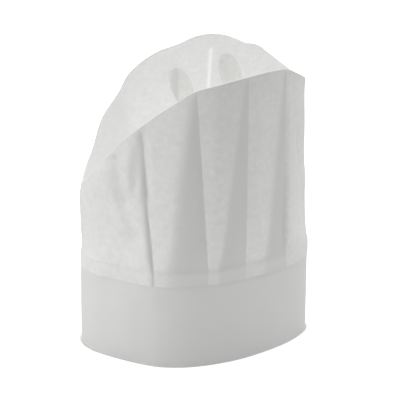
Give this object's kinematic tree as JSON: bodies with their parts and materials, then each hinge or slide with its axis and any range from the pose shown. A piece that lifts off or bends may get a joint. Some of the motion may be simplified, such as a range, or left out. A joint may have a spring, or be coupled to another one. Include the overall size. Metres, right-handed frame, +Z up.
{
  "type": "paper chef hat",
  "caption": "Disposable paper chef's hat with a smooth headband, a pleated wall, a slanting open rim and a folded top panel with oval air vents.",
  "frame": {"origin": "on the surface the hat stands on, under the middle of the hat's box", "axes": "+Z up; +X along the head towards the hat's high end; +Y across the head"},
  "size_m": [0.219, 0.2092, 0.2716],
  "materials": {
    "coated_paper": "smooth white paper strip with a faint sheen",
    "nonwoven_paper": "thin matt white nonwoven paper with a faint mottle"
  },
  "bodies": {
    "root": {"headband": "coated_paper", "crown": "nonwoven_paper", "top_panel": "nonwoven_paper"}
  },
  "joints": []
}
